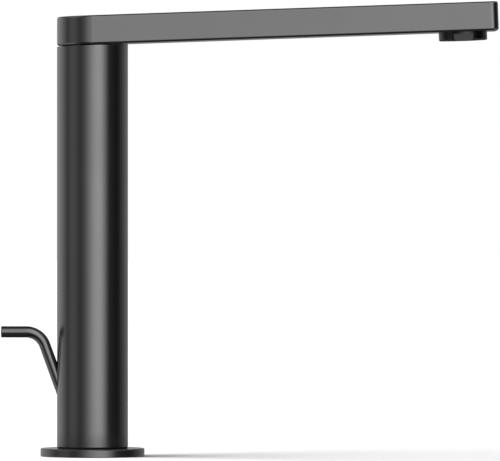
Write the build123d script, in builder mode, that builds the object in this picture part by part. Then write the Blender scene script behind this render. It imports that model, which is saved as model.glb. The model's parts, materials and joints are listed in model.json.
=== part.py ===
from build123d import *
import os
from math import cos, radians, sin, tan

# A tall single-hole mixer for a washbasin. A round column stands on a thin flange and carries a flat
# bar spout that rises gently to its tip. A bent pin lever leaves the back of the column at a slant
# and turns a slim progressive cartridge about the slanted axis.
#
# Origin: on the column's axis, in the plane of the deck that the flange stands on.
# +X runs from the column towards the spout's tip, +Z is up. Millimetres throughout.

# ---- driving dimensions ------------------------------------------------------------------------

COLUMN_RADIUS = 22.0
COLUMN_WALL = 3.0
FLANGE_RADIUS = 32.2
FLANGE_HEIGHT = 5.0
FLANGE_HOLE_RADIUS = 17.4
FOOT_GAP = 0.85

SPOUT_RISE = 1.99
SPOUT_AXIS_HEIGHT = 254.85
SPOUT_THICKNESS = 18.0
SPOUT_LENGTH = 251.4
SPOUT_WALL = 2.4
SPOUT_GAP = 0.35
COVER_THICKNESS = 2.0
COVER_LAND = 1.6
EDGE_ROUND = 1.4
TIP_CORNER_ROUND = 4.7

OUTLET_REACH = 229.6
COLLAR_RADIUS = 15.0
COLLAR_HEIGHT = 5.35
COLLAR_ACROSS_FLATS = 27.6
COLLAR_SHOULDER = 1.25
COLLAR_BORE_RADIUS = 10.8
OUTLET_THREAD_RADIUS = 12.5

ROD_RADIUS = 3.5
ROD_LEAN = 20.0
ROD_CORNER_X = -32.5
ROD_CORNER_Z = 77.05
ROD_TIP_X = -56.65
ROD_BEND_RADIUS = 12.4
BUSH_RADIUS = 4.2

DECK_THICKNESS = 20.0
SHANK_RADIUS = 16.5
SHANK_BORE_RADIUS = 14.1
SHANK_TOP = -4.0
SHANK_BOTTOM = -50.0

BODY_TOP = 30.0
STUB_RADIUS = 14.0
STUB_BOTTOM = -46.0
PORT_RADIUS = 4.5
PORT_DEPTH = 12.0
PORT_OFFSET = 6.5

CAVITY_RADIUS = 8.5
CAVITY_FLOOR = -14.0
CAVITY_MOUTH = 14.0
HOUSING_RADIUS = 8.3
HOUSING_WALL = 1.2

RISER_RADIUS = 5.0
RISER_WALL = 1.0
RISER_FOOT_X = 6.0
RISER_BOTTOM = 19.5
RISER_TOP = 238.0
SPOUT_TUBE_RADIUS = 4.0
SPOUT_TUBE_WALL = 0.8
SPOUT_TUBE_LEVEL = 10.0

RUNNING_GAP = 0.08
THREAD_GAP = 0.1
CUT_OVERRUN = 1.0

# ---- derived sizes and planes ------------------------------------------------------------------

COLUMN_BORE_RADIUS = COLUMN_RADIUS - COLUMN_WALL
COLUMN_FOOT = FLANGE_HEIGHT + FOOT_GAP
CORE_RADIUS = COLUMN_BORE_RADIUS - THREAD_GAP
HOUSING_BORE_RADIUS = HOUSING_RADIUS - HOUSING_WALL
LEAN = radians(ROD_LEAN)
RISE = radians(SPOUT_RISE)
LEVER_FOOT_X = ROD_CORNER_X + ROD_CORNER_Z * tan(LEAN)
ROD_CORNER_REACH = ROD_CORNER_Z / cos(LEAN)

os.makedirs("parts", exist_ok=True)


def lever_plane(reach):
    """The plane across the lever's slanted axis, at a distance along it from deck level."""
    origin = (LEVER_FOOT_X - reach * sin(LEAN), 0, reach * cos(LEAN))
    return Plane(origin=origin, x_dir=(cos(LEAN), 0, sin(LEAN)), z_dir=(-sin(LEAN), 0, cos(LEAN)))


def spout_plane(along, height):
    """The plane parallel to the spout's underside, by distance along it and height above it."""
    x = along * cos(RISE) - height * sin(RISE)
    z = SPOUT_AXIS_HEIGHT + along * sin(RISE) + height * cos(RISE)
    return Plane(origin=(x, 0, z), x_dir=(cos(RISE), 0, sin(RISE)), z_dir=(-sin(RISE), 0, cos(RISE)))


def spout_section(along, height):
    """The plane across the spout's length, facing its tip."""
    base = spout_plane(along, height)
    return Plane(origin=base.origin, x_dir=(0, 1, 0), z_dir=base.x_dir)


def disc(plane, height, radius, mode=Mode.ADD):
    """A round disc or pin standing on a plane."""
    with BuildSketch(plane) as outline:
        Circle(radius)
    extrude(outline.sketch, amount=height, mode=mode)


def ring(plane, height, outer_radius, inner_radius, mode=Mode.ADD):
    """A flat ring or sleeve standing on a plane."""
    with BuildSketch(plane) as outline:
        Circle(outer_radius)
        Circle(inner_radius, mode=Mode.SUBTRACT)
    extrude(outline.sketch, amount=height, mode=mode)


def o_ring(plane, ring_radius, cord_radius):
    """A round-section seal lying in a plane."""
    section = Plane(origin=plane.origin, x_dir=plane.x_dir, z_dir=-plane.y_dir)
    with BuildSketch(section) as cord:
        with Locations((ring_radius, 0)):
            Circle(cord_radius)
    revolve(cord.sketch, axis=Axis(plane.origin, plane.z_dir), revolution_arc=360)


def spout_outline(inset, stretch, base_height, height, mode=Mode.ADD):
    """An upright prism with the spout's outline: a round end on the column's axis and straight sides."""
    radius = COLUMN_RADIUS - inset
    with BuildSketch(Plane.XY.offset(base_height)) as outline:
        Circle(radius)
        with Locations((stretch / 2, 0)):
            Rectangle(stretch, 2 * radius)
    extrude(outline.sketch, amount=height, mode=mode)


# ---- base and deck fixing ----------------------------------------------------------------------

SEAL_GROOVE_OUTER = 28.5
SEAL_GROOVE_INNER = 23.5
SEAL_GROOVE_DEPTH = 1.9
SEAL_CLEARANCE = 0.2
FLANGE_TOP_ROUND = 0.6
FLANGE_FOOT_CHAMFER = 0.3

with BuildPart() as base_flange:
    ring(Plane.XY, FLANGE_HEIGHT, FLANGE_RADIUS, FLANGE_HOLE_RADIUS)
    rims = base_flange.edges().filter_by(GeomType.CIRCLE).sort_by(lambda edge: -edge.radius)[:2]
    fillet(rims.sort_by(Axis.Z)[-1], FLANGE_TOP_ROUND)
    foot_rim = base_flange.faces().sort_by(Axis.Z)[0].outer_wire().edges()
    chamfer(foot_rim, FLANGE_FOOT_CHAMFER)
    ring(Plane.XY, SEAL_GROOVE_DEPTH, SEAL_GROOVE_OUTER, SEAL_GROOVE_INNER, mode=Mode.SUBTRACT)

with BuildPart() as deck_seal:
    ring(
        Plane.XY,
        SEAL_GROOVE_DEPTH,
        SEAL_GROOVE_OUTER - SEAL_CLEARANCE,
        SEAL_GROOVE_INNER + SEAL_CLEARANCE,
    )

# The dark seat ring carries the valve body. It stands just inside the column's face, so that a fine
# dark line runs round the column's foot.
SEAT_SETBACK = 0.3
with BuildPart() as seat_ring:
    ring(
        Plane.XY.offset(FLANGE_HEIGHT),
        FOOT_GAP,
        COLUMN_RADIUS - SEAT_SETBACK,
        SHANK_RADIUS + THREAD_GAP,
    )

THREAD_CHAMFER = 0.8
with BuildPart() as mounting_shank:
    ring(
        Plane.XY.offset(SHANK_BOTTOM),
        SHANK_TOP - SHANK_BOTTOM,
        SHANK_RADIUS,
        SHANK_BORE_RADIUS,
    )
    chamfer(mounting_shank.faces().sort_by(Axis.Z)[0].outer_wire().edges(), THREAD_CHAMFER)

CENTRING_RADIUS = 17.3
CENTRING_TOP = -0.5
CENTRING_HEIGHT = 10.0
CENTRING_SLITS = 6
SLIT_WIDTH = 1.5
with BuildPart() as centring_collar:
    ring(
        Plane.XY.offset(CENTRING_TOP - CENTRING_HEIGHT),
        CENTRING_HEIGHT,
        CENTRING_RADIUS,
        SHANK_RADIUS + THREAD_GAP,
    )
    # open slits halfway up let the collar spring over the shank's thread
    with BuildSketch(Plane.XY.offset(CENTRING_TOP - CENTRING_HEIGHT)):
        with PolarLocations(CENTRING_RADIUS, CENTRING_SLITS):
            Rectangle(2 * SLIT_WIDTH, SLIT_WIDTH)
    extrude(amount=CENTRING_HEIGHT / 2, mode=Mode.SUBTRACT)

CLAMP_RADIUS = 26.0
PAD_THICKNESS = 3.0
WASHER_THICKNESS = 2.0
NUT_THICKNESS = 8.0
NUT_ACROSS_FLATS = 42.0
NUT_CHAMFER = 1.0
with BuildPart() as clamp_pad:
    ring(
        Plane.XY.offset(-DECK_THICKNESS - PAD_THICKNESS),
        PAD_THICKNESS,
        CLAMP_RADIUS,
        SHANK_RADIUS + THREAD_GAP,
    )

WASHER_LEVEL = -DECK_THICKNESS - PAD_THICKNESS - WASHER_THICKNESS
with BuildPart() as clamp_washer:
    ring(Plane.XY.offset(WASHER_LEVEL), WASHER_THICKNESS, CLAMP_RADIUS, SHANK_RADIUS + THREAD_GAP)


def hex_nut(level, thickness, across_flats, bore_radius, corner_chamfer):
    """A hexagon nut on the column's axis, its corners turned off at both faces."""
    with BuildSketch(Plane.XY.offset(level)) as outline:
        RegularPolygon(across_flats / 2, 6, major_radius=False)
        Circle(bore_radius, mode=Mode.SUBTRACT)
    extrude(outline.sketch, amount=thickness)
    corner = across_flats / 2 / cos(radians(30))
    face = corner - corner_chamfer
    drop = corner_chamfer / 2
    top = level + thickness
    with BuildSketch(Plane.XZ) as turned:
        Polygon(
            (0, level),
            (face, level),
            (corner, level + drop),
            (corner, top - drop),
            (face, top),
            (0, top),
            align=None,
        )
    revolve(turned.sketch, axis=Axis.Z, revolution_arc=360, mode=Mode.INTERSECT)


with BuildPart() as shank_nut:
    hex_nut(
        WASHER_LEVEL - NUT_THICKNESS,
        NUT_THICKNESS,
        NUT_ACROSS_FLATS,
        SHANK_RADIUS + THREAD_GAP,
        NUT_CHAMFER,
    )

# ---- column ------------------------------------------------------------------------------------

RIM_ROUND = 0.3
with BuildPart() as column_tube:
    disc(Plane.XY.offset(COLUMN_FOOT), SPOUT_AXIS_HEIGHT, COLUMN_RADIUS)
    split(bisect_by=spout_plane(0, -SPOUT_GAP), keep=Keep.BOTTOM)
    fillet(column_tube.edges().filter_by(Axis.Z, reverse=True), RIM_ROUND)
    disc(Plane.XY.offset(COLUMN_FOOT), SPOUT_AXIS_HEIGHT, COLUMN_BORE_RADIUS, mode=Mode.SUBTRACT)
    # the slanted hole for the lever, through the back wall only
    disc(lever_plane(CAVITY_MOUTH), ROD_CORNER_REACH, BUSH_RADIUS + THREAD_GAP / 2, mode=Mode.SUBTRACT)

HEAD_RECESS = 0.6
HEAD_BOTTOM = 240.0
SPIGOT_RADIUS = 8.0
with BuildPart() as column_head:
    ring(
        Plane.XY.offset(HEAD_BOTTOM),
        SPOUT_AXIS_HEIGHT - HEAD_BOTTOM,
        CORE_RADIUS,
        SPIGOT_RADIUS + THREAD_GAP,
    )
    split(bisect_by=spout_plane(0, -SPOUT_GAP - HEAD_RECESS), keep=Keep.BOTTOM)

# ---- valve body: two inlets below, a slanted cartridge cavity, one outlet up to the riser --------

BOSS_RADIUS = 8.0
SOCKET_RADIUS = RISER_RADIUS + THREAD_GAP / 2
SOCKET_FLOOR = 19.0
FEED_RADIUS = 2.0
FEED_OFFSET = 4.2
FEED_TOP = -11.0
OUTFLOW_RADIUS = 2.5
OUTFLOW_X = 8.5
RISER_SEAL_RADIUS = 5.58
RISER_SEAL_CORD = 0.55
SEAL_GROOVE_RADIUS = 6.2
SEAL_GROOVE_WIDTH = 1.4
LOWER_SEAL_LEVEL = 24.5
UPPER_SEAL_LEVEL = 231.0

with BuildPart() as valve_body:
    disc(Plane.XY.offset(COLUMN_FOOT), BODY_TOP - COLUMN_FOOT, CORE_RADIUS)
    split(bisect_by=lever_plane(CAVITY_MOUTH), keep=Keep.BOTTOM)
    disc(Plane.XY.offset(SHANK_TOP), COLUMN_FOOT - SHANK_TOP, SHANK_RADIUS)
    disc(Plane.XY.offset(STUB_BOTTOM), SHANK_TOP - STUB_BOTTOM, STUB_RADIUS)
    disc(Plane((RISER_FOOT_X, 0, COLUMN_FOOT)), BODY_TOP - COLUMN_FOOT, BOSS_RADIUS)
    disc(lever_plane(CAVITY_FLOOR), CAVITY_MOUTH - CAVITY_FLOOR, CAVITY_RADIUS, mode=Mode.SUBTRACT)
    for side in (-1, 1):
        port = Plane((0, side * PORT_OFFSET, STUB_BOTTOM))
        disc(port, PORT_DEPTH, PORT_RADIUS, mode=Mode.SUBTRACT)
        feed = Plane((0, side * FEED_OFFSET, STUB_BOTTOM + PORT_DEPTH))
        disc(feed, FEED_TOP - STUB_BOTTOM - PORT_DEPTH, FEED_RADIUS, mode=Mode.SUBTRACT)
    disc(Plane((OUTFLOW_X, 0, FEED_TOP)), SOCKET_FLOOR - FEED_TOP, OUTFLOW_RADIUS, mode=Mode.SUBTRACT)
    disc(Plane((RISER_FOOT_X, 0, SOCKET_FLOOR)), BODY_TOP - SOCKET_FLOOR, SOCKET_RADIUS, mode=Mode.SUBTRACT)
    groove = Plane((RISER_FOOT_X, 0, LOWER_SEAL_LEVEL - SEAL_GROOVE_WIDTH / 2))
    disc(groove, SEAL_GROOVE_WIDTH, SEAL_GROOVE_RADIUS, mode=Mode.SUBTRACT)

# ---- progressive cartridge, from its floor up, along the lever's axis ----------------------------

PORT_SEAL_THICKNESS = 1.5
DISC_THICKNESS = 2.5
DISC_RADIUS = 7.0
DISC_PORT_RADIUS = 1.7
TURNING_RADIUS = 6.8
LAPPED_GAP = 0.02
FIXED_DISC_LEVEL = CAVITY_FLOOR + PORT_SEAL_THICKNESS
MOVING_DISC_LEVEL = FIXED_DISC_LEVEL + DISC_THICKNESS
SPINDLE_LEVEL = MOVING_DISC_LEVEL + DISC_THICKNESS
SPINDLE_HEAD = 4.5
HOUSING_ROOF = SPINDLE_LEVEL + SPINDLE_HEAD + 0.3
HOUSING_SHOULDER = 1.0
NECK_RADIUS = 5.25
NECK_TOP = 11.0
STEM_RADIUS = 3.5
STEM_TOP = 16.0
STEM_FLAT = 2.9

with BuildPart() as cartridge_base_seal:
    disc(lever_plane(CAVITY_FLOOR), PORT_SEAL_THICKNESS, DISC_RADIUS)
    with BuildSketch(lever_plane(CAVITY_FLOOR)):
        with Locations((0, -FEED_OFFSET), (0, FEED_OFFSET)):
            Circle(DISC_PORT_RADIUS)
    extrude(amount=PORT_SEAL_THICKNESS, mode=Mode.SUBTRACT)

OUTLET_NOTCH_WIDTH = 4.0
with BuildPart() as fixed_disc:
    disc(lever_plane(FIXED_DISC_LEVEL), DISC_THICKNESS, DISC_RADIUS)
    with BuildSketch(lever_plane(FIXED_DISC_LEVEL)):
        with Locations((0, -FEED_OFFSET), (0, FEED_OFFSET)):
            Circle(DISC_PORT_RADIUS)
        with Locations((DISC_RADIUS, 0)):
            Rectangle(DISC_RADIUS, OUTLET_NOTCH_WIDTH)
    extrude(amount=DISC_THICKNESS, mode=Mode.SUBTRACT)

MIXING_POCKET = 1.5
with BuildPart() as moving_disc:
    disc(lever_plane(MOVING_DISC_LEVEL + LAPPED_GAP), DISC_THICKNESS - LAPPED_GAP, TURNING_RADIUS)
    with BuildSketch(lever_plane(MOVING_DISC_LEVEL)):
        with Locations((TURNING_RADIUS / 2, 0)):
            Rectangle(2 * TURNING_RADIUS, OUTLET_NOTCH_WIDTH)
    extrude(amount=MIXING_POCKET, mode=Mode.SUBTRACT)

WINDOW_HEIGHT = 6.0
with BuildPart() as cartridge_housing:
    ring(lever_plane(CAVITY_FLOOR), HOUSING_ROOF - CAVITY_FLOOR, HOUSING_RADIUS, HOUSING_BORE_RADIUS)
    stem_bore = STEM_RADIUS + RUNNING_GAP
    ring(lever_plane(HOUSING_ROOF), HOUSING_SHOULDER - HOUSING_ROOF, HOUSING_RADIUS, stem_bore)
    ring(lever_plane(HOUSING_SHOULDER), NECK_TOP - HOUSING_SHOULDER, NECK_RADIUS, stem_bore)
    # the outlet window, on the side of the valve body's outflow
    with BuildSketch(lever_plane(FIXED_DISC_LEVEL + PORT_SEAL_THICKNESS)):
        with Locations((HOUSING_RADIUS, 0)):
            Rectangle(4 * HOUSING_WALL, WINDOW_HEIGHT)
    extrude(amount=WINDOW_HEIGHT, mode=Mode.SUBTRACT)

STEM_GROOVE_RADIUS = 2.6
STEM_GROOVE_LEVEL = 5.5
STEM_GROOVE_WIDTH = 1.2
STEM_SEAL_RADIUS = 3.07
STEM_SEAL_CORD = 0.44
with BuildPart() as cartridge_spindle:
    disc(lever_plane(SPINDLE_LEVEL), SPINDLE_HEAD, TURNING_RADIUS)
    disc(lever_plane(SPINDLE_LEVEL + SPINDLE_HEAD), STEM_TOP - SPINDLE_LEVEL - SPINDLE_HEAD, STEM_RADIUS)
    ring(
        lever_plane(STEM_GROOVE_LEVEL),
        STEM_GROOVE_WIDTH,
        2 * STEM_RADIUS,
        STEM_GROOVE_RADIUS,
        mode=Mode.SUBTRACT,
    )
    # two flats at the top drive the stem from the lever's socket
    with BuildSketch(lever_plane(NECK_TOP + 1)):
        with Locations((0, -STEM_FLAT - STEM_RADIUS), (0, STEM_FLAT + STEM_RADIUS)):
            Rectangle(2 * STEM_RADIUS, 2 * STEM_RADIUS)
    extrude(amount=STEM_TOP, mode=Mode.SUBTRACT)

with BuildPart() as spindle_seal:
    o_ring(lever_plane(STEM_GROOVE_LEVEL + STEM_GROOVE_WIDTH / 2), STEM_SEAL_RADIUS, STEM_SEAL_CORD)

CARTRIDGE_NUT_THICKNESS = 6.0
SPANNER_SLOT = 2.5
with BuildPart() as cartridge_nut:
    ring(
        lever_plane(HOUSING_SHOULDER),
        CARTRIDGE_NUT_THICKNESS,
        CAVITY_RADIUS - THREAD_GAP,
        NECK_RADIUS + THREAD_GAP,
    )
    with BuildSketch(lever_plane(HOUSING_SHOULDER + CARTRIDGE_NUT_THICKNESS)):
        Rectangle(2 * CAVITY_RADIUS, SPANNER_SLOT)
        Rectangle(SPANNER_SLOT, 2 * CAVITY_RADIUS)
    extrude(amount=-SPANNER_SLOT, mode=Mode.SUBTRACT)

# ---- lever -------------------------------------------------------------------------------------

SOCKET_BASE = NECK_TOP + 0.5
SOCKET_TOP = 25.0
SOCKET_OUTER_RADIUS = 5.0
ROD_END = 18.0
SET_SCREW_LEVEL = 21.5
SET_SCREW_RADIUS = 1.45

with BuildPart() as lever_socket:
    disc(lever_plane(SOCKET_BASE), SOCKET_TOP - SOCKET_BASE, SOCKET_OUTER_RADIUS)
    disc(lever_plane(SOCKET_BASE), STEM_TOP - SOCKET_BASE, STEM_RADIUS + THREAD_GAP, mode=Mode.SUBTRACT)
    disc(lever_plane(ROD_END), SOCKET_TOP - ROD_END, ROD_RADIUS + THREAD_GAP / 2, mode=Mode.SUBTRACT)
    screw_axis = Plane(origin=lever_plane(SET_SCREW_LEVEL).origin, z_dir=(0, 1, 0))
    disc(screw_axis, SOCKET_OUTER_RADIUS, SET_SCREW_RADIUS + THREAD_GAP, mode=Mode.SUBTRACT)

HEX_SOCKET_RADIUS = 0.75
with BuildPart() as lever_set_screw:
    screw_end = ROD_RADIUS + THREAD_GAP
    disc(screw_axis.offset(screw_end), SOCKET_OUTER_RADIUS - screw_end, SET_SCREW_RADIUS)
    with BuildSketch(screw_axis.offset(SOCKET_OUTER_RADIUS)):
        RegularPolygon(HEX_SOCKET_RADIUS, 6)
    extrude(amount=-HEX_SOCKET_RADIUS, mode=Mode.SUBTRACT)

ROD_TIP_ROUND = 0.5
with BuildPart() as lever_rod:
    rod_start = lever_plane(ROD_END)
    with BuildLine() as rod_path:
        FilletPolyline(
            rod_start.origin,
            (ROD_CORNER_X, 0, ROD_CORNER_Z),
            (ROD_TIP_X, 0, ROD_CORNER_Z),
            radius=ROD_BEND_RADIUS,
        )
    with BuildSketch(rod_start):
        Circle(ROD_RADIUS)
    sweep(path=rod_path.wires()[0])
    fillet(lever_rod.faces().sort_by(Axis.X)[0].edges(), ROD_TIP_ROUND)

# a thin sleeve lines the slanted hole and lies just inside the column's skin
BUSH_SETBACK = 0.15
with BuildPart() as lever_bush:
    ring(lever_plane(SOCKET_TOP), ROD_CORNER_REACH - SOCKET_TOP, BUSH_RADIUS, ROD_RADIUS + RUNNING_GAP)
    ring(
        Plane.XY,
        ROD_CORNER_Z,
        COLUMN_RADIUS - BUSH_SETBACK,
        COLUMN_BORE_RADIUS - BUSH_SETBACK,
        mode=Mode.INTERSECT,
    )

# ---- riser -------------------------------------------------------------------------------------

RISER_JOG_START = 60.0
RISER_JOG_END = 110.0
RISER_JOG_RADIUS = 150.0
with BuildPart() as riser_tube:
    with BuildLine() as riser_path:
        FilletPolyline(
            (RISER_FOOT_X, 0, RISER_BOTTOM),
            (RISER_FOOT_X, 0, RISER_JOG_START),
            (0, 0, RISER_JOG_END),
            (0, 0, RISER_TOP),
            radius=RISER_JOG_RADIUS,
        )
    with BuildSketch(Plane((RISER_FOOT_X, 0, RISER_BOTTOM))):
        Circle(RISER_RADIUS)
        Circle(RISER_RADIUS - RISER_WALL, mode=Mode.SUBTRACT)
    sweep(path=riser_path.wires()[0])

with BuildPart() as riser_seals:
    o_ring(Plane((RISER_FOOT_X, 0, LOWER_SEAL_LEVEL)), RISER_SEAL_RADIUS, RISER_SEAL_CORD)
    o_ring(Plane((0, 0, UPPER_SEAL_LEVEL)), RISER_SEAL_RADIUS, RISER_SEAL_CORD)

# ---- spout and its fixing ------------------------------------------------------------------------


def spout_slice(inset, low, high):
    """The spout's outline, inset all round, between two heights above its underside."""
    with BuildPart() as piece:
        spout_outline(inset, SPOUT_LENGTH + COLUMN_RADIUS, HEAD_BOTTOM, 2 * COLUMN_RADIUS)
        split(bisect_by=spout_plane(0, low), keep=Keep.TOP)
        split(bisect_by=spout_plane(0, high), keep=Keep.BOTTOM)
        split(bisect_by=spout_section(SPOUT_LENGTH - inset, 0), keep=Keep.BOTTOM)
        tip_face = piece.faces().sort_by(Axis.X)[-1]
        fillet(tip_face.edges().filter_by(Axis.Y, reverse=True), TIP_CORNER_ROUND - inset)
    return piece.part


spout_bar = spout_slice(0, 0, SPOUT_THICKNESS)
spout_pocket = spout_slice(SPOUT_WALL, -CUT_OVERRUN, SPOUT_THICKNESS - SPOUT_WALL)
cover_rebate = spout_slice(COVER_LAND, -CUT_OVERRUN, COVER_THICKNESS)
cover_blank = spout_slice(COVER_LAND + THREAD_GAP / 2, 0, COVER_THICKNESS)

with BuildPart() as spout_body:
    add(spout_bar)
    broad_faces = spout_body.faces().filter_by(Axis((0, 0, 0), spout_plane(0, 0).z_dir))
    fillet(broad_faces.edges(), EDGE_ROUND)
    add(spout_pocket, mode=Mode.SUBTRACT)
    add(cover_rebate, mode=Mode.SUBTRACT)

with BuildPart() as spout_cover_plate:
    add(cover_blank)
    disc(
        Plane.XY.offset(HEAD_BOTTOM),
        2 * COLUMN_RADIUS,
        SPIGOT_RADIUS + THREAD_GAP,
        mode=Mode.SUBTRACT,
    )
    disc(
        spout_plane(OUTLET_REACH, -CUT_OVERRUN),
        2 * COVER_THICKNESS,
        OUTLET_THREAD_RADIUS + THREAD_GAP,
        mode=Mode.SUBTRACT,
    )

GASKET_RADIUS = 18.4
with BuildPart() as spout_gasket:
    ring(
        spout_plane(0, -SPOUT_GAP - HEAD_RECESS),
        SPOUT_GAP + HEAD_RECESS,
        GASKET_RADIUS,
        SPIGOT_RADIUS + SPOUT_GAP,
    )

BLOCK_HEIGHT = 12.8
SPIGOT_HEAD_RADIUS = 12.5
SPIGOT_BOTTOM = 226.0
WATERWAY_RADIUS = 4.0
PORT_LENGTH = 5.0
TUBE_PORT_RADIUS = SPOUT_TUBE_RADIUS + THREAD_GAP / 2
TUBE_BORE_RADIUS = SPOUT_TUBE_RADIUS - SPOUT_TUBE_WALL
SPIGOT_GROOVE_RADIUS = 6.8
SPIGOT_GROOVE_WIDTH = 1.6
SPIGOT_SEAL_LEVEL = 247.0
SPIGOT_SEAL_RADIUS = 7.42
SPIGOT_SEAL_CORD = 0.58

with BuildPart() as spout_spigot:
    disc(spout_plane(0, COVER_THICKNESS), BLOCK_HEIGHT, SPIGOT_HEAD_RADIUS)
    disc(
        Plane.XY.offset(SPIGOT_BOTTOM),
        SPOUT_AXIS_HEIGHT + 2 * COVER_THICKNESS - SPIGOT_BOTTOM,
        SPIGOT_RADIUS,
    )
    disc(
        Plane.XY.offset(SPIGOT_BOTTOM),
        RISER_TOP - SPIGOT_BOTTOM,
        SOCKET_RADIUS,
        mode=Mode.SUBTRACT,
    )
    disc(
        Plane.XY.offset(RISER_TOP),
        SPOUT_AXIS_HEIGHT + SPOUT_TUBE_LEVEL + TUBE_BORE_RADIUS - RISER_TOP,
        WATERWAY_RADIUS,
        mode=Mode.SUBTRACT,
    )
    disc(
        Plane.XY.offset(UPPER_SEAL_LEVEL - SEAL_GROOVE_WIDTH / 2),
        SEAL_GROOVE_WIDTH,
        SEAL_GROOVE_RADIUS,
        mode=Mode.SUBTRACT,
    )
    ring(
        Plane.XY.offset(SPIGOT_SEAL_LEVEL - SPIGOT_GROOVE_WIDTH / 2),
        SPIGOT_GROOVE_WIDTH,
        2 * SPIGOT_RADIUS,
        SPIGOT_GROOVE_RADIUS,
        mode=Mode.SUBTRACT,
    )
    disc(spout_section(0, SPOUT_TUBE_LEVEL), SPIGOT_HEAD_RADIUS, TUBE_BORE_RADIUS, mode=Mode.SUBTRACT)
    disc(
        spout_section(SPIGOT_HEAD_RADIUS - PORT_LENGTH, SPOUT_TUBE_LEVEL),
        2 * PORT_LENGTH,
        TUBE_PORT_RADIUS,
        mode=Mode.SUBTRACT,
    )

with BuildPart() as spigot_seal:
    o_ring(Plane.XY.offset(SPIGOT_SEAL_LEVEL), SPIGOT_SEAL_RADIUS, SPIGOT_SEAL_CORD)

SPIGOT_NUT_THICKNESS = 6.0
SPIGOT_NUT_FLATS = 24.0
with BuildPart() as spigot_nut:
    hex_nut(
        HEAD_BOTTOM - SPIGOT_NUT_THICKNESS,
        SPIGOT_NUT_THICKNESS,
        SPIGOT_NUT_FLATS,
        SPIGOT_RADIUS + THREAD_GAP,
        NUT_CHAMFER,
    )

# ---- outlet ------------------------------------------------------------------------------------

OUTLET_BLOCK_RADIUS = 15.5
CHAMBER_RADIUS = 8.5
WASHER_BASE = 4.0
WASHER_TOP = 5.5
LIP_RADIUS = 9.9
LIP_THICKNESS = 1.0
COLLAR_ROUND = 1.0

with BuildPart() as spout_tube:
    tube_start = SPIGOT_HEAD_RADIUS - PORT_LENGTH + THREAD_GAP
    tube_end = OUTLET_REACH - CHAMBER_RADIUS
    ring(
        spout_section(tube_start, SPOUT_TUBE_LEVEL),
        tube_end - tube_start,
        SPOUT_TUBE_RADIUS,
        TUBE_BORE_RADIUS,
    )

with BuildPart() as outlet_block:
    disc(spout_plane(OUTLET_REACH, COVER_THICKNESS), BLOCK_HEIGHT, OUTLET_BLOCK_RADIUS)
    disc(
        spout_plane(OUTLET_REACH, COVER_THICKNESS),
        WASHER_TOP - COVER_THICKNESS,
        OUTLET_THREAD_RADIUS + THREAD_GAP,
        mode=Mode.SUBTRACT,
    )
    disc(
        spout_plane(OUTLET_REACH, WASHER_TOP),
        SPOUT_TUBE_LEVEL + TUBE_BORE_RADIUS - WASHER_TOP,
        CHAMBER_RADIUS,
        mode=Mode.SUBTRACT,
    )
    disc(
        spout_section(OUTLET_REACH - 2 * CHAMBER_RADIUS, SPOUT_TUBE_LEVEL),
        2 * CHAMBER_RADIUS,
        TUBE_PORT_RADIUS,
        mode=Mode.SUBTRACT,
    )

with BuildPart() as aerator_collar:
    ring(spout_plane(OUTLET_REACH, -COLLAR_HEIGHT), COLLAR_HEIGHT, COLLAR_RADIUS, LIP_RADIUS)
    fillet(aerator_collar.faces().sort_by(Axis.Z)[0].outer_wire().edges(), COLLAR_ROUND)
    # two spanner flats face the sides, and stop at a narrow round shoulder under the spout
    with BuildSketch(spout_plane(OUTLET_REACH, -COLLAR_SHOULDER)):
        Circle(COLLAR_RADIUS + CUT_OVERRUN)
        Rectangle(4 * COLLAR_RADIUS, COLLAR_ACROSS_FLATS, mode=Mode.SUBTRACT)
    extrude(amount=-COLLAR_HEIGHT, mode=Mode.SUBTRACT)
    disc(
        spout_plane(OUTLET_REACH, LIP_THICKNESS - COLLAR_HEIGHT),
        COLLAR_HEIGHT,
        COLLAR_BORE_RADIUS,
        mode=Mode.SUBTRACT,
    )
    ring(spout_plane(OUTLET_REACH, 0), WASHER_BASE, OUTLET_THREAD_RADIUS, COLLAR_BORE_RADIUS)

with BuildPart() as aerator_washer:
    ring(
        spout_plane(OUTLET_REACH, WASHER_BASE),
        WASHER_TOP - WASHER_BASE,
        OUTLET_THREAD_RADIUS - SEAL_CLEARANCE,
        CHAMBER_RADIUS,
    )

CAGE_RADIUS = 10.6
CAGE_BORE_RADIUS = 9.5
CAGE_LIP_RADIUS = 9.0
CAGE_FLOOR = LIP_THICKNESS - COLLAR_HEIGHT
CAGE_LIP = 0.6
with BuildPart() as aerator_cage:
    ring(spout_plane(OUTLET_REACH, CAGE_FLOOR), WASHER_BASE - CAGE_FLOOR, CAGE_RADIUS, CAGE_BORE_RADIUS)
    ring(spout_plane(OUTLET_REACH, CAGE_FLOOR), CAGE_LIP, CAGE_RADIUS, CAGE_LIP_RADIUS)

INSERT_RADIUS = CAGE_BORE_RADIUS - THREAD_GAP
SCREEN_THICKNESS = 1.2
SCREEN_HOLE_RADIUS = 0.62
SCREEN_PITCH = 2.0
SCREEN_RINGS = 4
with BuildPart() as aerator_screen:
    screen_base = spout_plane(OUTLET_REACH, CAGE_FLOOR + CAGE_LIP)
    disc(screen_base, SCREEN_THICKNESS, INSERT_RADIUS)
    with BuildSketch(screen_base):
        Circle(SCREEN_HOLE_RADIUS)
        for turn in range(1, SCREEN_RINGS + 1):
            with PolarLocations(turn * SCREEN_PITCH, 6 * turn):
                Circle(SCREEN_HOLE_RADIUS)
    extrude(amount=SCREEN_THICKNESS, mode=Mode.SUBTRACT)

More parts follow.
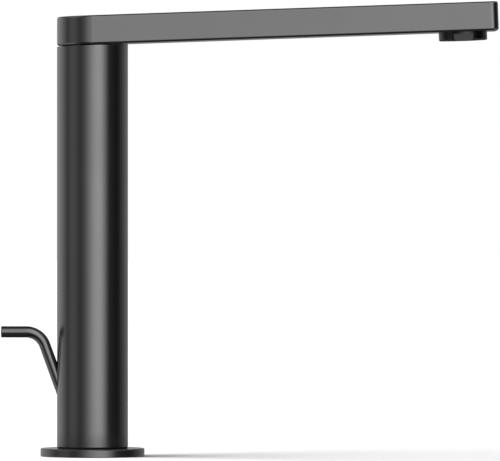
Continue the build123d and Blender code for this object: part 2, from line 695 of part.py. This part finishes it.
REGULATOR_LEVEL = 0.5
REGULATOR_THICKNESS = 3.0
REGULATOR_SLOTS = 8
REGULATOR_SLOT_RADIUS = 1.1
REGULATOR_CIRCLE = 6.0
with BuildPart() as flow_regulator:
    disc(spout_plane(OUTLET_REACH, REGULATOR_LEVEL), REGULATOR_THICKNESS, INSERT_RADIUS)
    with BuildSketch(spout_plane(OUTLET_REACH, REGULATOR_LEVEL)):
        with PolarLocations(REGULATOR_CIRCLE, REGULATOR_SLOTS):
            Circle(REGULATOR_SLOT_RADIUS)
    extrude(amount=REGULATOR_THICKNESS, mode=Mode.SUBTRACT)

# ---- one file for each piece -----------------------------------------------------------------------

pieces = {
    "base_flange": base_flange,
    "deck_seal": deck_seal,
    "seat_ring": seat_ring,
    "mounting_shank": mounting_shank,
    "centring_collar": centring_collar,
    "clamp_pad": clamp_pad,
    "clamp_washer": clamp_washer,
    "shank_nut": shank_nut,
    "column_tube": column_tube,
    "column_head": column_head,
    "valve_body": valve_body,
    "cartridge_base_seal": cartridge_base_seal,
    "fixed_disc": fixed_disc,
    "moving_disc": moving_disc,
    "cartridge_housing": cartridge_housing,
    "cartridge_spindle": cartridge_spindle,
    "spindle_seal": spindle_seal,
    "cartridge_nut": cartridge_nut,
    "lever_socket": lever_socket,
    "lever_set_screw": lever_set_screw,
    "lever_rod": lever_rod,
    "lever_bush": lever_bush,
    "riser_tube": riser_tube,
    "riser_seals": riser_seals,
    "spout_body": spout_body,
    "spout_cover_plate": spout_cover_plate,
    "spout_gasket": spout_gasket,
    "spout_spigot": spout_spigot,
    "spigot_seal": spigot_seal,
    "spigot_nut": spigot_nut,
    "spout_tube": spout_tube,
    "outlet_block": outlet_block,
    "aerator_collar": aerator_collar,
    "aerator_washer": aerator_washer,
    "aerator_cage": aerator_cage,
    "aerator_screen": aerator_screen,
    "flow_regulator": flow_regulator,
}
for name, piece in pieces.items():
    piece.part.label = name
    export_step(piece.part, f"parts/{name}.step")
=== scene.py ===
import json
from math import cos, pi, radians, sin, tau

import bmesh
import bpy
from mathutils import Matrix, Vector


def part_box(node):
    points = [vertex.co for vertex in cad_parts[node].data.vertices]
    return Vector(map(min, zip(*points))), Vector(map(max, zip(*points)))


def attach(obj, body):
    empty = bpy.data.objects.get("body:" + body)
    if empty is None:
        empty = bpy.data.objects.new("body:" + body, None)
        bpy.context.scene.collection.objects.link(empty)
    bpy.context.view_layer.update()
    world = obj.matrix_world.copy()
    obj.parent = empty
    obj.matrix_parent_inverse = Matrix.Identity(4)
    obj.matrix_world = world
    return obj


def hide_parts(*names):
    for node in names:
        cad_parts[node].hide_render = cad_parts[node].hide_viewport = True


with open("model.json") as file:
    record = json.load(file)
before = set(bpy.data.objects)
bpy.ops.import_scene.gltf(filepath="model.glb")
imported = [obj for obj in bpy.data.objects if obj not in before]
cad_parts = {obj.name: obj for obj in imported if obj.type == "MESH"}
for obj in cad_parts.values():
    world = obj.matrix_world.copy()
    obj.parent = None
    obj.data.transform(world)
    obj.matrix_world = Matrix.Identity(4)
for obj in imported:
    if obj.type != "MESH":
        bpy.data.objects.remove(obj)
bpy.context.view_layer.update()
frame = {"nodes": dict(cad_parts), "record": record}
MM = 0.001
WHITE = (1, 1, 1, 1)


# ---- camera: level and far off, square to the spout's side -----------------------------------------

CAMERA_DISTANCE = 4.6
CAMERA_HEIGHT = 0.1665
CAMERA_SIDE = 0.0976
CLIP_END = 50
SENSOR_WIDTH = 36.0
# how much the picture takes in from side to side at the tap, in metres
VIEW_WIDTH = 0.30985
# where the picture's middle lies against the horizon, as a share of its width: below it if negative
LENS_SHIFT = -0.086


def make_camera():
    data = bpy.data.cameras.new("camera")
    data.sensor_width = SENSOR_WIDTH
    data.lens = CAMERA_DISTANCE / VIEW_WIDTH * SENSOR_WIDTH
    data.shift_y = LENS_SHIFT
    data.clip_end = CLIP_END
    camera = bpy.data.objects.new("camera", data)
    bpy.context.scene.collection.objects.link(camera)
    camera.location = (CAMERA_SIDE, -CAMERA_DISTANCE, CAMERA_HEIGHT)
    camera.rotation_euler = (pi / 2, 0, 0)
    bpy.context.scene.camera = camera


# ---- node helpers ----------------------------------------------------------------------------------


class Tree:
    """A node tree with short calls for the nodes used here."""

    def __init__(self, owner):
        owner.use_nodes = True
        self.nodes = owner.node_tree.nodes
        self.links = owner.node_tree.links
        self.nodes.clear()

    def add(self, kind, inputs=None, **settings):
        node = self.nodes.new(kind)
        for name, value in settings.items():
            setattr(node, name, value)
        for name, value in (inputs or {}).items():
            self.feed(node.inputs[name], value)
        return node

    def feed(self, socket, value):
        if isinstance(value, bpy.types.NodeSocket):
            self.links.new(value, socket)
        else:
            socket.default_value = value

    def math(self, operation, first, second=0.0):
        node = self.add("ShaderNodeMath", operation=operation)
        self.feed(node.inputs[0], first)
        self.feed(node.inputs[1], second)
        return node.outputs[0]

    def total(self, *terms):
        """The sum of (socket, weight) pairs."""
        result = 0.0
        for socket, weight in terms:
            result = self.math("ADD", self.math("MULTIPLY", socket, weight), result)
        return result

    def ramp(self, value, low, high, start=0.0, end=1.0):
        """A smooth step from start to end while the value goes from low to high."""
        node = self.add(
            "ShaderNodeMapRange",
            {"Value": value, "From Min": low, "From Max": high, "To Min": start, "To Max": end},
            interpolation_type="SMOOTHSTEP",
        )
        return node.outputs["Result"]

    def place(self, stretch=(1, 1, 1)):
        """The object's own coordinates in metres. A stretch under 1 draws a pattern out that way."""
        own = self.add("ShaderNodeTexCoord").outputs["Object"]
        return self.add("ShaderNodeMapping", {"Vector": own, "Scale": stretch}).outputs["Vector"]

    def noise(self, scale, detail=2.0, stretch=(1, 1, 1)):
        inputs = {"Vector": self.place(stretch), "Scale": scale, "Detail": detail}
        return self.add("ShaderNodeTexNoise", inputs).outputs["Fac"]

    def height(self):
        """The height in metres in the object's own coordinates."""
        return self.add("ShaderNodeSeparateXYZ", {"Vector": self.place()}).outputs["Z"]

    def rings(self, pitch, waver=0.4):
        """Turning marks: fine bands stacked along Z. At a scale of 1 the node lays 10 / pi to a metre."""
        inputs = {"Vector": self.place(), "Scale": pi / (10 * pitch), "Distortion": waver, "Detail": 1.0}
        node = self.add("ShaderNodeTexWave", inputs, wave_type="BANDS", bands_direction="Z")
        return node.outputs["Fac"]

    def blend(self, factor, first, second):
        """The first colour where the factor is 0, the second where it is 1."""
        node = self.add("ShaderNodeMix", data_type="RGBA")
        colours = [socket for socket in node.inputs if socket.type == "RGBA"]
        self.feed(node.inputs[0], factor)
        self.feed(colours[0], first)
        self.feed(colours[1], second)
        return [socket for socket in node.outputs if socket.type == "RGBA"][0]


# ---- studio: soft upright cards round a dark room, and one soft sun for the floor ------------------

# Each card is a soft upright light. Its azimuth is in degrees, 0 on the camera's side and positive to
# the camera's right: where it begins, where it is full, where it starts to fall off and where it ends.
# Then its level, and the elevations where its top starts to fall off and where it ends.
CARDS = {
    "key": (-38, 20, 23, 59, 0.9, 46, 82),
    "left_fill": (-88, -72, -60, -42, 0.09, 46, 82),
    "left_wash": (-115, -95, -36, -8, 0.08, 46, 82),
    "back_left": (-190, -176, -128, -84, 0.45, 12, 34),
    "back_right": (-275, -205, -190, -176, 0.27, 12, 34),
    "right_wash": (30, 50, 60, 84, 0.022, 46, 82),
}
ROOM_LEVEL = 0.018
# the elevations between which every card comes up from the floor
CARD_FOOT = (-28, 5)
# the least share of a card's level that is left above and below it
ABOVE_AND_BELOW = 0.05
# azimuths are counted from here, so that the break in the count falls in the dark on the right
COUNT_FROM = -95

# Faint glows off to the sides, both below and overhead, so that the tap still reads from other sides.
# Each has its azimuths and its level as above. The glow on the right runs on across the break in the
# count, so it has a row for each side of it.
GLOWS = {
    "left_glow": (-150, -130, -75, -45, 0.26),
    "right_glow": (45, 75, 200, 220, 0.26),
    "far_right_glow": (-420, -400, -230, -210, 0.26),
}
# the elevations between which the lower glow comes up, then falls off, and the upper one comes up
GLOW_BELOW = (-80, -55)
GLOW_BELOW_TOP = (-16, -5)
GLOW_ABOVE = (20, 45)


def dot(tree, way, direction):
    inputs = {0: way, 1: direction}
    return tree.add("ShaderNodeVectorMath", inputs, operation="DOT_PRODUCT").outputs["Value"]


def azimuth_and_elevation(tree):
    """The direction a ray looks in, as two angles in degrees."""
    way = tree.add("ShaderNodeTexCoord").outputs["Generated"]
    turn = radians(COUNT_FROM)
    ahead = dot(tree, way, (sin(turn), -cos(turn), 0))
    aside = dot(tree, way, (cos(turn), sin(turn), 0))
    azimuth = tree.math("ADD", tree.math("DEGREES", tree.math("ARCTAN2", aside, ahead)), COUNT_FROM)
    height = tree.add("ShaderNodeSeparateXYZ", {"Vector": way}).outputs["Z"]
    return azimuth, tree.math("DEGREES", tree.math("ARCSINE", height))


def soft_sided(tree, azimuth, begin, full, fall, end, level):
    left = tree.ramp(azimuth, begin, full)
    right = tree.ramp(azimuth, fall, end, level, 0.0)
    return tree.math("MULTIPLY", left, right)


def room_light(tree):
    """The level of light from each direction: the dark room, its cards and its side glows."""
    azimuth, elevation = azimuth_and_elevation(tree)
    foot = tree.ramp(elevation, *CARD_FOOT)
    level = ROOM_LEVEL
    for *sides, top_fall, top_end in CARDS.values():
        card = soft_sided(tree, azimuth, *sides)
        tall = tree.math("MULTIPLY", foot, tree.ramp(elevation, top_fall, top_end, 1.0, 0.0))
        tall = tree.math("MAXIMUM", tall, ABOVE_AND_BELOW)
        level = tree.math("ADD", tree.math("MULTIPLY", card, tall), level)
    below_top = tree.ramp(elevation, *GLOW_BELOW_TOP, 1.0, 0.0)
    below = tree.math("MULTIPLY", tree.ramp(elevation, *GLOW_BELOW), below_top)
    off_level = tree.math("MAXIMUM", below, tree.ramp(elevation, *GLOW_ABOVE))
    for sides in GLOWS.values():
        glow = soft_sided(tree, azimuth, *sides)
        level = tree.math("ADD", tree.math("MULTIPLY", glow, off_level), level)
    return level


def make_world():
    """The room lights the tap and shows in its plating, and the backdrop itself is plain white."""
    world = bpy.data.worlds.new("studio")
    bpy.context.scene.world = world
    tree = Tree(world)
    level = room_light(tree)
    lit = tree.add("ShaderNodeBackground", {"Color": WHITE, "Strength": level}).outputs[0]
    plain = tree.add("ShaderNodeBackground", {"Color": WHITE, "Strength": 1.0}).outputs[0]
    seen = tree.add("ShaderNodeLightPath").outputs["Is Camera Ray"]
    shown = tree.add("ShaderNodeMixShader", {0: seen, 1: lit, 2: plain}).outputs[0]
    tree.add("ShaderNodeOutputWorld", {"Surface": shown})


SUN_DIRECTION = (-0.8, -0.05, 0.62)
SUN_SIZE = 60
SUN_STRENGTH = 4.92


def make_sun():
    data = bpy.data.lights.new("soft_sun", "SUN")
    data.energy = SUN_STRENGTH
    data.angle = radians(SUN_SIZE)
    sun = bpy.data.objects.new("soft_sun", data)
    bpy.context.scene.collection.objects.link(sun)
    sun.rotation_euler = Vector(SUN_DIRECTION).to_track_quat("Z", "Y").to_euler()
    sun.visible_glossy = False


FLOOR_REACH = 12.0
PAPER = (0.9, 0.9, 0.9, 1)


def make_floor():
    mesh = bpy.data.meshes.new("floor")
    form = bmesh.new()
    bmesh.ops.create_grid(form, x_segments=2, y_segments=2, size=FLOOR_REACH)
    form.to_mesh(mesh)
    form.free()
    floor = bpy.data.objects.new("floor", mesh)
    bpy.context.scene.collection.objects.link(floor)
    floor.visible_glossy = False
    material = bpy.data.materials.new("floor_paper")
    tree = Tree(material)
    paper = tree.add("ShaderNodeBsdfDiffuse", {"Color": PAPER}).outputs[0]
    tree.add("ShaderNodeOutputMaterial", {"Surface": paper})
    mesh.materials.append(material)


# ---- materials: one for each slot of the record ----------------------------------------------------


def surface(finish, metallic, relief_depth, others):
    """A material with the colour, roughness and relief that its finish gives."""
    material = bpy.data.materials.new(finish.__name__)
    tree = Tree(material)
    colour, rough, relief = finish(tree)
    bump = tree.add("ShaderNodeBump", {"Strength": 1.0, "Distance": relief_depth, "Height": relief})
    normal = bump.outputs["Normal"]
    inputs = {"Base Color": colour, "Metallic": metallic, "Roughness": rough, "Normal": normal}
    shader = tree.add("ShaderNodeBsdfPrincipled", {**inputs, **others})
    tree.add("ShaderNodeOutputMaterial", {"Surface": shader.outputs[0]})
    return material


def polished_plate(tree, pale, deep, smooth, smudged):
    """Buffed plating: faint polishing lines, finger smudges and a few pin-point pits."""
    smudge = tree.ramp(tree.noise(26, detail=5.0), 0.48, 0.72)
    buffing = tree.noise(1500, detail=2.0, stretch=(1, 1, 0.06))
    pits = tree.ramp(tree.noise(1900, detail=1.0), 0.76, 0.86)
    cloud = tree.ramp(tree.noise(9, detail=3.0), 0.3, 0.7)
    colour = tree.blend(cloud, pale, deep)
    rough = tree.total((smudge, smudged - smooth), (buffing, 0.02), (pits, 0.12))
    rough = tree.math("ADD", rough, smooth)
    relief = tree.total((buffing, 0.5), (pits, -1.0), (smudge, 0.2))
    return colour, rough, relief


# painted shade darkening the column's foot and the flange: its colour, its share on the flange and on the
# column's foot, the heights where the one share gives way to the other, those where it fades out, and how
# much it roughens
FOOT_SHADE_COLOUR = (0.03, 0.03, 0.03, 1)
FOOT_SHADE_SHARES = (0.12, 0.2)
FOOT_SHADE_RISE = (4.9 * MM, 5.9 * MM)
FOOT_SHADE_FADE = (7 * MM, 17 * MM)
FOOT_SHADE_ROUGHNESS = 0.3


def dark_chrome(tree):
    """The tap's finish, with painted shade darkening it round its foot."""
    pale, deep = (0.336, 0.336, 0.341, 1), (0.322, 0.322, 0.329, 1)
    colour, rough, relief = polished_plate(tree, pale, deep, smooth=0.17, smudged=0.21)
    height = tree.height()
    shade_rising = tree.ramp(height, *FOOT_SHADE_RISE, *FOOT_SHADE_SHARES)
    foot_shade = tree.math("MULTIPLY", shade_rising, tree.ramp(height, *FOOT_SHADE_FADE, 1.0, 0.0))
    # painted shade: the colour is darker towards the column's foot and on the flange
    colour = tree.blend(foot_shade, colour, FOOT_SHADE_COLOUR)
    rough = tree.math("ADD", rough, tree.math("MULTIPLY", foot_shade, FOOT_SHADE_ROUGHNESS))
    return colour, rough, relief


def black_chrome(tree):
    pale, deep = (0.108, 0.108, 0.111, 1), (0.095, 0.095, 0.098, 1)
    return polished_plate(tree, pale, deep, smooth=0.2, smudged=0.25)


def brass(tree):
    """Turned brass, with fine tool marks and a light tarnish in blotches."""
    marks = tree.rings(pitch=0.35 * MM)
    tarnish = tree.ramp(tree.noise(60, detail=6.0), 0.42, 0.7)
    grain = tree.noise(2600, detail=3.0)
    bright, tarnished = (0.74, 0.54, 0.24, 1), (0.5, 0.34, 0.14, 1)
    colour = tree.blend(tarnish, bright, tarnished)
    rough = tree.math("ADD", tree.total((tarnish, 0.16), (marks, 0.05), (grain, 0.06)), 0.22)
    return colour, rough, tree.total((marks, 0.7), (grain, 0.3), (tarnish, 0.15))


def stainless(tree):
    """Brushed stainless steel: long fine scratches with a patchy sheen."""
    brushing = tree.noise(2200, detail=3.0, stretch=(1, 1, 0.03))
    patch = tree.ramp(tree.noise(35, detail=3.0), 0.35, 0.7)
    pale, deep = (0.62, 0.61, 0.59, 1), (0.5, 0.495, 0.485, 1)
    colour = tree.blend(patch, pale, deep)
    rough = tree.math("ADD", tree.total((brushing, 0.16), (patch, 0.06)), 0.2)
    return colour, rough, tree.total((brushing, 1.0), (patch, 0.1))


def moulded(tree, pale, deep, smooth, rougher, grain_size):
    """A moulded surface: spark-eroded grain, flow clouds and scattered specks of dust."""
    grain = tree.noise(1 / grain_size, detail=3.0)
    flow = tree.ramp(tree.noise(45, detail=4.0, stretch=(1, 1, 0.4)), 0.3, 0.7)
    dust = tree.ramp(tree.noise(1300, detail=2.0), 0.68, 0.78)
    colour = tree.blend(tree.total((flow, 0.7), (dust, 0.3)), deep, pale)
    rough = tree.math("ADD", tree.total((grain, rougher - smooth), (dust, 0.1)), smooth)
    return colour, rough, tree.total((grain, 0.8), (flow, 0.1), (dust, 0.1))


def black_rubber(tree):
    pale, deep = (0.034, 0.033, 0.032, 1), (0.017, 0.017, 0.017, 1)
    return moulded(tree, pale, deep, smooth=0.62, rougher=0.86, grain_size=0.35 * MM)


def black_polymer(tree):
    pale, deep = (0.011, 0.011, 0.012, 1), (0.006, 0.006, 0.0065, 1)
    return moulded(tree, pale, deep, smooth=0.52, rougher=0.7, grain_size=0.25 * MM)


def white_polymer(tree):
    pale, deep = (0.84, 0.83, 0.8, 1), (0.77, 0.76, 0.72, 1)
    return moulded(tree, pale, deep, smooth=0.32, rougher=0.46, grain_size=0.3 * MM)


def grey_polymer(tree):
    pale, deep = (0.4, 0.41, 0.43, 1), (0.31, 0.32, 0.34, 1)
    return moulded(tree, pale, deep, smooth=0.34, rougher=0.48, grain_size=0.25 * MM)


def ceramic(tree):
    """Lapped alumina: almost a mirror, with a fine speckle and faint lapping lines."""
    speckle = tree.noise(3200, detail=4.0)
    lapping = tree.noise(900, detail=2.0, stretch=(1, 0.08, 1))
    cloud = tree.ramp(tree.noise(120, detail=3.0), 0.35, 0.7)
    pale, deep = (0.88, 0.86, 0.8, 1), (0.8, 0.78, 0.71, 1)
    colour = tree.blend(tree.total((speckle, 0.6), (cloud, 0.4)), pale, deep)
    rough = tree.math("ADD", tree.total((speckle, 0.06), (lapping, 0.05)), 0.08)
    return colour, rough, tree.total((speckle, 0.5), (lapping, 0.5))


# each finish, its metalness, the depth of its relief and what else the shader is given
FINISHES = (
    (dark_chrome, 1.0, 0.0015 * MM, {}),
    (black_chrome, 1.0, 0.003 * MM, {}),
    (brass, 1.0, 0.02 * MM, {}),
    (stainless, 1.0, 0.01 * MM, {}),
    (black_rubber, 0.0, 0.05 * MM, {"Specular IOR Level": 0.35}),
    (black_polymer, 0.0, 0.03 * MM, {"Specular IOR Level": 0.2}),
    (white_polymer, 0.0, 0.03 * MM, {}),
    (grey_polymer, 0.0, 0.03 * MM, {}),
    (ceramic, 0.0, 0.004 * MM, {"IOR": 1.76}),
)


def make_materials():
    return {finish.__name__: surface(finish, *settings) for finish, *settings in FINISHES}


# ---- pieces ----------------------------------------------------------------------------------------


def new_piece(name, form, smooth_below):
    """A mesh object from a bmesh, shaded smooth except across edges sharper than an angle in degrees."""
    for face in form.faces:
        face.smooth = True
    for edge in form.edges:
        if len(edge.link_faces) == 2 and edge.calc_face_angle() > radians(smooth_below):
            edge.smooth = False
    mesh = bpy.data.meshes.new(name)
    form.to_mesh(mesh)
    form.free()
    piece = bpy.data.objects.new(name, mesh)
    bpy.context.scene.collection.objects.link(piece)
    return piece


# ---- the threaded shank under the deck -------------------------------------------------------------

THREAD_PITCH = 1.5 * MM
THREAD_DEPTH = 0.85 * MM
SHANK_WALL = 2.4 * MM
ROUND_STEPS = 96
# points closer than this are merged: the last spine's with the first's, and those held at the ends
MERGE_DISTANCE = 1e-7
# the thread's profile over one pitch: share of the pitch, and share of the full depth
THREAD_PROFILE = ((0.12, 0.0), (0.44, 1.0), (0.56, 1.0), (0.88, 0.0))


def thread_fade(level, low, high):
    """The share of the thread's height that is left near the tube's ends, where it is chamfered away."""
    return max(0.0, min(1.0, (level - low) / THREAD_PITCH, (high - level) / THREAD_PITCH))


def threaded_tube(name, low, high, radius):
    """A tube with a helical thread on its outside: spines run up the tube, each a step further round."""
    root = radius - THREAD_DEPTH
    turns = int((high - low) / THREAD_PITCH) + 1
    form = bmesh.new()
    spines = []
    for step in range(ROUND_STEPS + 1):
        angle = tau * step / ROUND_STEPS
        outward = Vector((cos(angle), sin(angle), 0))
        spine = []
        # turns run from below the tube's foot to above its top, so that every spine has points at both ends
        for turn in range(-2, turns + 1):
            for share, rise in THREAD_PROFILE:
                level = low + THREAD_PITCH * (turn + share + step / ROUND_STEPS)
                level = min(max(level, low), high)
                reach = root + THREAD_DEPTH * rise * thread_fade(level, low, high)
                spine.append(form.verts.new(outward * reach + Vector((0, 0, level))))
        bore = outward * (radius - SHANK_WALL)
        spine.append(form.verts.new(bore + Vector((0, 0, high))))
        spine.append(form.verts.new(bore + Vector((0, 0, low))))
        spines.append(spine)
    for spine, following in zip(spines, spines[1:]):
        for index in range(len(spine)):
            after = (index + 1) % len(spine)
            form.faces.new((spine[index], following[index], following[after], spine[after]))
    bmesh.ops.remove_doubles(form, verts=form.verts, dist=MERGE_DISTANCE)
    bmesh.ops.recalc_face_normals(form, faces=form.faces)
    return new_piece(name, form, smooth_below=35)


def make_shank(material):
    low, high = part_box("mounting_shank")
    shank = threaded_tube("shank_thread", low[2], high[2], high[0])
    shank.data.materials.append(material)
    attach(shank, "faucet_body")
    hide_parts("mounting_shank")


# ---- the scene -------------------------------------------------------------------------------------

make_camera()
make_world()
make_sun()
make_floor()
bpy.context.scene.view_settings.view_transform = "Standard"

materials = make_materials()
for part in frame["record"]["subparts"]:
    surfaces = frame["nodes"][part["node"]].data.materials
    surfaces.clear()
    surfaces.append(materials[part["material_slot"]])

make_shank(materials["brass"])
